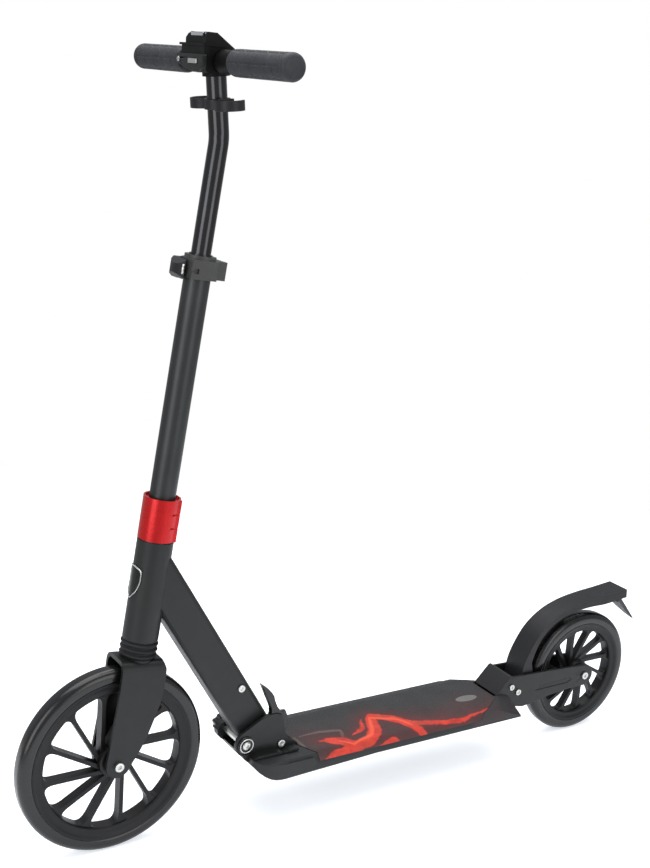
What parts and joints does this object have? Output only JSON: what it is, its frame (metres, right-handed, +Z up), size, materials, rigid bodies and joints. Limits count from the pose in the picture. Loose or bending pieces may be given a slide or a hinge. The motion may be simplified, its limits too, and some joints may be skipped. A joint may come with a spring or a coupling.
{
  "type": "kick scooter",
  "caption": "Folding two-wheel kick scooter with a low deck, telescopic T handlebar, sprung front fork, spoked wheels and a rear fender brake.",
  "frame": {"origin": "on the ground under the middle of the overall length, on the centre plane", "axes": "+X is the direction of travel, +Y is the rider's left, +Z is up"},
  "size_m": [0.954, 0.336, 0.9332],
  "materials": {
    "black_paint": "satin powder coat",
    "charcoal_anodised": "dark anodised, satin",
    "gunmetal_gloss": "glossy dark anodised",
    "red_anodised": "red anodised, satin",
    "zinc": "zinc plated",
    "steel_dark": "oiled steel",
    "tyre_pu": "glossy cast polyurethane",
    "wheel_plastic": "moulded nylon, matte",
    "fender_plastic": "moulded nylon, matte",
    "boot_rubber": "matte rubber",
    "grip_rubber": "ribbed rubber",
    "sheet_print": "gritty printed sheet",
    "plate_grey": "satin grey",
    "chrome_trim": "bright plated",
    "gloss_black": "gloss black"
  },
  "bodies": {
    "deck_frame": {"deck": "black_paint", "grip_sheet": "sheet_print", "deck_plate": "plate_grey", "fold_bracket": "black_paint", "bracket_screws": "steel_dark", "fold_pivot_bolt": "zinc", "lock_bolt": "zinc", "rear_casting": "black_paint", "rear_cover": "black_paint", "cover_bolt": "zinc", "fender_pivot": "zinc", "rear_axle": "zinc", "rear_spacers": "steel_dark"},
    "rear_wheel": {"rear_tyre": "tyre_pu", "rear_rim": "wheel_plastic", "rear_bearings": "steel_dark"},
    "fender_brake": {"fender": "fender_plastic", "brake_plate": "zinc"},
    "release_lever": {"release_lever": "black_paint"},
    "lock_knob": {"lock_knob": "gloss_black"},
    "front_frame": {"down_tube": "black_paint", "head_tube": "black_paint", "headset_bearings": "steel_dark", "head_plate": "gloss_black", "brace_bolt": "zinc", "fold_knuckle": "black_paint"},
    "column": {"steerer_sleeve": "steel_dark", "outer_tube": "charcoal_anodised", "clamp_collar": "red_anodised", "collar_bolts": "steel_dark", "height_clamp": "black_paint", "guide_bushing": "gloss_black", "clamp_bolt": "steel_dark", "clamp_lever_pin": "zinc"},
    "clamp_lever": {"clamp_lever": "gloss_black"},
    "fork": {"fork": "black_paint", "fork_stanchion": "chrome_trim", "fork_boot": "boot_rubber", "fork_spring": "steel_dark", "front_axle": "zinc", "front_spacers": "steel_dark"},
    "front_wheel": {"front_tyre": "tyre_pu", "front_rim": "wheel_plastic", "front_bearings": "steel_dark"},
    "t_bar": {"t_tube": "gunmetal_gloss", "grip_clip": "gloss_black", "head_block": "gloss_black", "head_insert": "chrome_trim", "latch_plate": "gloss_black", "latch_screw": "zinc"},
    "latch_button": {"latch_button": "zinc"},
    "handle_left": {"bar_stub_left": "gunmetal_gloss", "grip_left": "grip_rubber"},
    "handle_right": {"bar_stub_right": "gunmetal_gloss", "grip_right": "grip_rubber"}
  },
  "joints": [
    {"name": "fold", "type": "hinge", "parent": "deck_frame", "child": "front_frame", "pos_m": [0.1457, 0, 0.0991], "axis": [0, -1, 0], "range_deg": [0, 86]},
    {"name": "steer", "type": "hinge", "parent": "front_frame", "child": "column", "pos_m": [0.32369, 0, 0.31772], "axis": [-0.1191, 0, 0.9929], "range_deg": [-60, 60]},
    {"name": "suspension", "type": "slide", "parent": "column", "child": "fork", "axis": [-0.1191, 0, 0.9929], "range_m": [0, 0.01], "stiffness_N_per_m": 9000, "springref_m": -0.006, "deforming": ["fork_boot", "fork_spring"]},
    {"name": "front_wheel_spin", "type": "hinge", "parent": "fork", "child": "front_wheel", "pos_m": [0.362, 0, 0.115], "axis": [0, 1, 0], "continuous": true},
    {"name": "rear_wheel_spin", "type": "hinge", "parent": "deck_frame", "child": "rear_wheel", "pos_m": [-0.37, 0, 0.09], "axis": [0, 1, 0], "continuous": true},
    {"name": "fender_press", "type": "hinge", "parent": "deck_frame", "child": "fender_brake", "pos_m": [-0.2445, 0, 0.0884], "axis": [0, -1, 0], "range_deg": [0, 5], "stiffness_Nm_per_rad": 8, "springref_deg": -6.88},
    {"name": "release_lever_press", "type": "hinge", "parent": "deck_frame", "child": "release_lever", "pos_m": [0.1457, 0.021, 0.0991], "axis": [0, -1, 0], "range_deg": [0, 22], "stiffness_Nm_per_rad": 0.6, "springref_deg": -17.19},
    {"name": "lock_knob_turn", "type": "hinge", "parent": "deck_frame", "child": "lock_knob", "pos_m": [0.1964, -0.035, 0.1075], "axis": [0, 1, 0], "range_deg": [-90, 90]},
    {"name": "height", "type": "slide", "parent": "column", "child": "t_bar", "axis": [-0.1191, 0, 0.9929], "range_m": [-0.11, 0.04]},
    {"name": "clamp_lever_swing", "type": "hinge", "parent": "column", "child": "clamp_lever", "pos_m": [0.25851, -0.0215, 0.68054], "axis": [-0.1191, 0, 0.9929], "range_deg": [-100, 0]},
    {"name": "latch_button_press", "type": "slide", "parent": "t_bar", "child": "latch_button", "axis": [-1, 0, 0], "range_m": [0, 0.0015], "stiffness_N_per_m": 200, "springref_m": -0.004},
    {"name": "handle_left_pull", "type": "slide", "parent": "t_bar", "child": "handle_left", "axis": [0, 1, 0], "range_m": [0, 0.035]},
    {"name": "handle_right_pull", "type": "slide", "parent": "t_bar", "child": "handle_right", "axis": [0, -1, 0], "range_m": [0, 0.035]}
  ]
}
